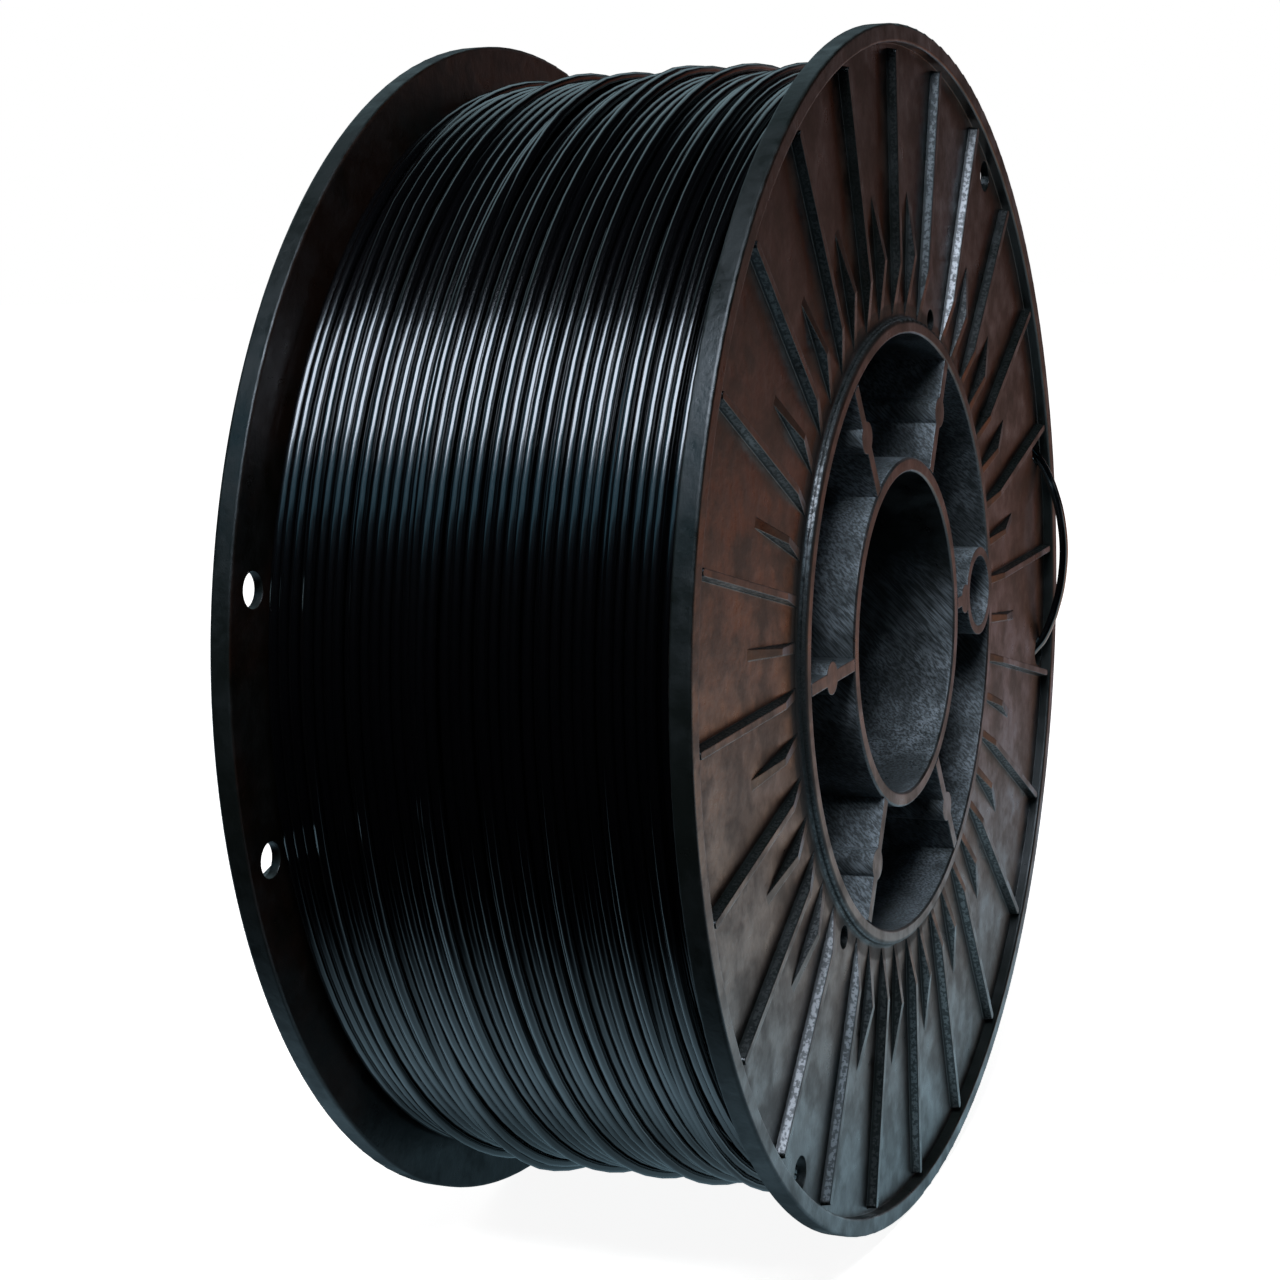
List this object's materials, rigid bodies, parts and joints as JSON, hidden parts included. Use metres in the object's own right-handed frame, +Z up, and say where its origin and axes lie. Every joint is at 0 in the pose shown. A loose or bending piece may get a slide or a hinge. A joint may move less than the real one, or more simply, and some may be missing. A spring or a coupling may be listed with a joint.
{
  "type": "filament spool",
  "caption": "Plastic spool wound with black filament: ribbed flanges, a drum on webs round an open hub, a drive hole, and the loose end looped through the holes beside the rim.",
  "frame": {"origin": "centre of the hub's bore, midway between the two rims", "axes": "Y along the spool's axis with the front flange facing -Y, +Z up as the spool stands on its rims, +X through the drive hole"},
  "size_m": [0.2, 0.0784, 0.2],
  "materials": {
    "spool_plastic": "satin moulded",
    "filament": "glossy extruded"
  },
  "bodies": {
    "root": {"front_flange": "spool_plastic", "front_drum": "spool_plastic", "front_hub": "spool_plastic", "front_webs": "spool_plastic", "front_drive_tube": "spool_plastic", "rear_flange": "spool_plastic", "rear_drum": "spool_plastic", "rear_hub": "spool_plastic", "rear_webs": "spool_plastic", "rear_drive_tube": "spool_plastic", "filament_core": "filament", "filament_layer": "filament", "filament_end": "filament"}
  },
  "joints": []
}
